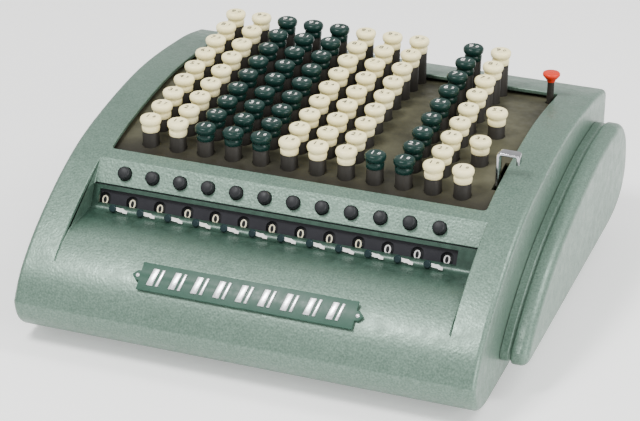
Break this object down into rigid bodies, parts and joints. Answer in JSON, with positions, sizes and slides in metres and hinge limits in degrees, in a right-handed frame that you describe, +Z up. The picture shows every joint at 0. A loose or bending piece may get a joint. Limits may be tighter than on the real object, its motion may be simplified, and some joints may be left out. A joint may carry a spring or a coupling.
{
  "type": "adding machine",
  "caption": "Key-driven desk adding machine: curved metal case, full keyboard of round keys, window with numeral wheels, slanted bar of buttons, clearing lever and side cover.",
  "frame": {"origin": "centre of the object's bounding box at table height, under the case", "axes": "+X to the right as seen by the person at the keys (across the key columns), +Y away from that person, +Z up"},
  "size_m": [0.318, 0.305, 0.136],
  "materials": {
    "case_enamel": "hammered metallic green-grey enamel, semi-gloss",
    "trough_enamel": "smooth dark green enamel, gloss",
    "plate_enamel": "olive-brown enamel, satin, worn",
    "black_metal": "black japanned sheet, satin",
    "steel": "brushed, lightly oiled",
    "chrome": "polished",
    "ivory_key": "moulded ivory plastic, polished",
    "green_key": "moulded bottle-green plastic, polished",
    "red_key": "moulded red plastic, polished",
    "wheel_black": "moulded black, matt",
    "button_black": "moulded black, satin",
    "foot_rubber": "moulded black rubber"
  },
  "bodies": {
    "case": {"case_shell": "case_enamel", "side_cover": "case_enamel", "nameplate": "trough_enamel", "register_panel": "trough_enamel", "numeral_mask": "black_metal", "decimal_pointer_rail": "black_metal", "keyboard_plate": "plate_enamel", "base_plate": "steel", "mechanism_frame_left": "steel", "mechanism_frame_right": "steel", "register_shaft": "steel", "key_lever_shaft": "steel", "foot_front_left": "foot_rubber", "foot_front_right": "foot_rubber", "foot_rear_left": "foot_rubber", "foot_rear_right": "foot_rubber"},
    "key_column_1": {"key_column_1": "ivory_key"},
    "key_column_2": {"key_column_2": "ivory_key"},
    "key_column_3": {"key_column_3": "green_key"},
    "key_column_4": {"key_column_4": "green_key"},
    "key_column_5": {"key_column_5": "green_key"},
    "key_column_6": {"key_column_6": "ivory_key"},
    "key_column_7": {"key_column_7": "ivory_key"},
    "key_column_8": {"key_column_8": "ivory_key"},
    "key_9_row_1": {"key_9_row_1": "green_key"},
    "key_column_10": {"key_column_10": "green_key"},
    "key_column_11": {"key_column_11": "ivory_key"},
    "key_12_row_1": {"key_12_row_1": "ivory_key"},
    "key_12_row_3": {"key_12_row_3": "ivory_key"},
    "key_12_row_5": {"key_12_row_5": "ivory_key"},
    "numeral_wheel_1": {"numeral_wheel_1": "wheel_black"},
    "numeral_wheel_2": {"numeral_wheel_2": "wheel_black"},
    "numeral_wheel_3": {"numeral_wheel_3": "wheel_black"},
    "numeral_wheel_4": {"numeral_wheel_4": "wheel_black"},
    "numeral_wheel_5": {"numeral_wheel_5": "wheel_black"},
    "numeral_wheel_6": {"numeral_wheel_6": "wheel_black"},
    "numeral_wheel_7": {"numeral_wheel_7": "wheel_black"},
    "numeral_wheel_8": {"numeral_wheel_8": "wheel_black"},
    "numeral_wheel_9": {"numeral_wheel_9": "wheel_black"},
    "numeral_wheel_10": {"numeral_wheel_10": "wheel_black"},
    "numeral_wheel_11": {"numeral_wheel_11": "wheel_black"},
    "numeral_wheel_12": {"numeral_wheel_12": "wheel_black"},
    "numeral_wheel_13": {"numeral_wheel_13": "wheel_black"},
    "cut_off_button_1": {"cut_off_button_1": "button_black"},
    "cut_off_button_2": {"cut_off_button_2": "button_black"},
    "cut_off_button_3": {"cut_off_button_3": "button_black"},
    "cut_off_button_4": {"cut_off_button_4": "button_black"},
    "cut_off_button_5": {"cut_off_button_5": "button_black"},
    "cut_off_button_6": {"cut_off_button_6": "button_black"},
    "cut_off_button_7": {"cut_off_button_7": "button_black"},
    "cut_off_button_8": {"cut_off_button_8": "button_black"},
    "cut_off_button_9": {"cut_off_button_9": "button_black"},
    "cut_off_button_10": {"cut_off_button_10": "button_black"},
    "cut_off_button_11": {"cut_off_button_11": "button_black"},
    "cut_off_button_12": {"cut_off_button_12": "button_black"},
    "clearing_lever": {"clearing_lever": "chrome", "clearing_shaft": "steel", "clearing_arm": "steel"},
    "release_key": {"release_key": "red_key"}
  },
  "joints": [
    {"name": "key_column_1_press", "type": "slide", "parent": "case", "child": "key_column_1", "axis": [0, 0, -1], "range_m": [0, 0.004], "stiffness_N_per_m": 400, "springref_m": -0.004},
    {"name": "key_column_2_press", "type": "slide", "parent": "case", "child": "key_column_2", "axis": [0, 0, -1], "range_m": [0, 0.004], "stiffness_N_per_m": 400, "springref_m": -0.004},
    {"name": "key_column_3_press", "type": "slide", "parent": "case", "child": "key_column_3", "axis": [0, 0, -1], "range_m": [0, 0.004], "stiffness_N_per_m": 400, "springref_m": -0.004},
    {"name": "key_column_4_press", "type": "slide", "parent": "case", "child": "key_column_4", "axis": [0, 0, -1], "range_m": [0, 0.004], "stiffness_N_per_m": 400, "springref_m": -0.004},
    {"name": "key_column_5_press", "type": "slide", "parent": "case", "child": "key_column_5", "axis": [0, 0, -1], "range_m": [0, 0.004], "stiffness_N_per_m": 400, "springref_m": -0.004},
    {"name": "key_column_6_press", "type": "slide", "parent": "case", "child": "key_column_6", "axis": [0, 0, -1], "range_m": [0, 0.004], "stiffness_N_per_m": 400, "springref_m": -0.004},
    {"name": "key_column_7_press", "type": "slide", "parent": "case", "child": "key_column_7", "axis": [0, 0, -1], "range_m": [0, 0.004], "stiffness_N_per_m": 400, "springref_m": -0.004},
    {"name": "key_column_8_press", "type": "slide", "parent": "case", "child": "key_column_8", "axis": [0, 0, -1], "range_m": [0, 0.004], "stiffness_N_per_m": 400, "springref_m": -0.004},
    {"name": "key_9_row_1_press", "type": "slide", "parent": "case", "child": "key_9_row_1", "axis": [0, 0, -1], "range_m": [0, 0.004], "stiffness_N_per_m": 200, "springref_m": -0.004},
    {"name": "key_column_10_press", "type": "slide", "parent": "case", "child": "key_column_10", "axis": [0, 0, -1], "range_m": [0, 0.004], "stiffness_N_per_m": 400, "springref_m": -0.004},
    {"name": "key_column_11_press", "type": "slide", "parent": "case", "child": "key_column_11", "axis": [0, 0, -1], "range_m": [0, 0.004], "stiffness_N_per_m": 400, "springref_m": -0.004},
    {"name": "key_12_row_1_press", "type": "slide", "parent": "case", "child": "key_12_row_1", "axis": [0, 0, -1], "range_m": [0, 0.004], "stiffness_N_per_m": 200, "springref_m": -0.004},
    {"name": "key_12_row_3_press", "type": "slide", "parent": "case", "child": "key_12_row_3", "axis": [0, 0, -1], "range_m": [0, 0.004], "stiffness_N_per_m": 200, "springref_m": -0.004},
    {"name": "key_12_row_5_press", "type": "slide", "parent": "case", "child": "key_12_row_5", "axis": [0, 0, -1], "range_m": [0, 0.004], "stiffness_N_per_m": 200, "springref_m": -0.004},
    {"name": "numeral_wheel_1_turn", "type": "hinge", "parent": "case", "child": "numeral_wheel_1", "pos_m": [-0.1292, -0.05953, 0.06542], "axis": [1, 0, 0], "continuous": true},
    {"name": "numeral_wheel_2_turn", "type": "hinge", "parent": "case", "child": "numeral_wheel_2", "pos_m": [-0.11015, -0.05953, 0.06542], "axis": [1, 0, 0], "continuous": true},
    {"name": "numeral_wheel_3_turn", "type": "hinge", "parent": "case", "child": "numeral_wheel_3", "pos_m": [-0.0911, -0.05953, 0.06542], "axis": [1, 0, 0], "continuous": true},
    {"name": "numeral_wheel_4_turn", "type": "hinge", "parent": "case", "child": "numeral_wheel_4", "pos_m": [-0.07205, -0.05953, 0.06542], "axis": [1, 0, 0], "continuous": true},
    {"name": "numeral_wheel_5_turn", "type": "hinge", "parent": "case", "child": "numeral_wheel_5", "pos_m": [-0.053, -0.05953, 0.06542], "axis": [1, 0, 0], "continuous": true},
    {"name": "numeral_wheel_6_turn", "type": "hinge", "parent": "case", "child": "numeral_wheel_6", "pos_m": [-0.03395, -0.05953, 0.06542], "axis": [1, 0, 0], "continuous": true},
    {"name": "numeral_wheel_7_turn", "type": "hinge", "parent": "case", "child": "numeral_wheel_7", "pos_m": [-0.0149, -0.05953, 0.06542], "axis": [1, 0, 0], "continuous": true},
    {"name": "numeral_wheel_8_turn", "type": "hinge", "parent": "case", "child": "numeral_wheel_8", "pos_m": [0.00415, -0.05953, 0.06542], "axis": [1, 0, 0], "continuous": true},
    {"name": "numeral_wheel_9_turn", "type": "hinge", "parent": "case", "child": "numeral_wheel_9", "pos_m": [0.0232, -0.05953, 0.06542], "axis": [1, 0, 0], "continuous": true},
    {"name": "numeral_wheel_10_turn", "type": "hinge", "parent": "case", "child": "numeral_wheel_10", "pos_m": [0.04225, -0.05953, 0.06542], "axis": [1, 0, 0], "continuous": true},
    {"name": "numeral_wheel_11_turn", "type": "hinge", "parent": "case", "child": "numeral_wheel_11", "pos_m": [0.0613, -0.05953, 0.06542], "axis": [1, 0, 0], "continuous": true},
    {"name": "numeral_wheel_12_turn", "type": "hinge", "parent": "case", "child": "numeral_wheel_12", "pos_m": [0.08035, -0.05953, 0.06542], "axis": [1, 0, 0], "continuous": true},
    {"name": "numeral_wheel_13_turn", "type": "hinge", "parent": "case", "child": "numeral_wheel_13", "pos_m": [0.0994, -0.05953, 0.06542], "axis": [1, 0, 0], "continuous": true},
    {"name": "cut_off_button_1_press", "type": "slide", "parent": "case", "child": "cut_off_button_1", "axis": [0, 0.7783, -0.6279], "range_m": [0, 0.0035], "stiffness_N_per_m": 150, "springref_m": -0.0035},
    {"name": "cut_off_button_2_press", "type": "slide", "parent": "case", "child": "cut_off_button_2", "axis": [0, 0.7783, -0.6279], "range_m": [0, 0.0035], "stiffness_N_per_m": 150, "springref_m": -0.0035},
    {"name": "cut_off_button_3_press", "type": "slide", "parent": "case", "child": "cut_off_button_3", "axis": [0, 0.7783, -0.6279], "range_m": [0, 0.0035], "stiffness_N_per_m": 150, "springref_m": -0.0035},
    {"name": "cut_off_button_4_press", "type": "slide", "parent": "case", "child": "cut_off_button_4", "axis": [0, 0.7783, -0.6279], "range_m": [0, 0.0035], "stiffness_N_per_m": 150, "springref_m": -0.0035},
    {"name": "cut_off_button_5_press", "type": "slide", "parent": "case", "child": "cut_off_button_5", "axis": [0, 0.7783, -0.6279], "range_m": [0, 0.0035], "stiffness_N_per_m": 150, "springref_m": -0.0035},
    {"name": "cut_off_button_6_press", "type": "slide", "parent": "case", "child": "cut_off_button_6", "axis": [0, 0.7783, -0.6279], "range_m": [0, 0.0035], "stiffness_N_per_m": 150, "springref_m": -0.0035},
    {"name": "cut_off_button_7_press", "type": "slide", "parent": "case", "child": "cut_off_button_7", "axis": [0, 0.7783, -0.6279], "range_m": [0, 0.0035], "stiffness_N_per_m": 150, "springref_m": -0.0035},
    {"name": "cut_off_button_8_press", "type": "slide", "parent": "case", "child": "cut_off_button_8", "axis": [0, 0.7783, -0.6279], "range_m": [0, 0.0035], "stiffness_N_per_m": 150, "springref_m": -0.0035},
    {"name": "cut_off_button_9_press", "type": "slide", "parent": "case", "child": "cut_off_button_9", "axis": [0, 0.7783, -0.6279], "range_m": [0, 0.0035], "stiffness_N_per_m": 150, "springref_m": -0.0035},
    {"name": "cut_off_button_10_press", "type": "slide", "parent": "case", "child": "cut_off_button_10", "axis": [0, 0.7783, -0.6279], "range_m": [0, 0.0035], "stiffness_N_per_m": 150, "springref_m": -0.0035},
    {"name": "cut_off_button_11_press", "type": "slide", "parent": "case", "child": "cut_off_button_11", "axis": [0, 0.7783, -0.6279], "range_m": [0, 0.0035], "stiffness_N_per_m": 150, "springref_m": -0.0035},
    {"name": "cut_off_button_12_press", "type": "slide", "parent": "case", "child": "cut_off_button_12", "axis": [0, 0.7783, -0.6279], "range_m": [0, 0.0035], "stiffness_N_per_m": 150, "springref_m": -0.0035},
    {"name": "clearing_lever_swing", "type": "hinge", "parent": "case", "child": "clearing_lever", "pos_m": [0.1125, -0.0205, 0.052], "axis": [1, 0, 0], "range_deg": [-20, 0], "stiffness_Nm_per_rad": 0.25, "springref_deg": 20.05},
    {"name": "release_key_press", "type": "slide", "parent": "case", "child": "release_key", "axis": [0, 0, -1], "range_m": [0, 0.005], "stiffness_N_per_m": 150, "springref_m": -0.005}
  ]
}
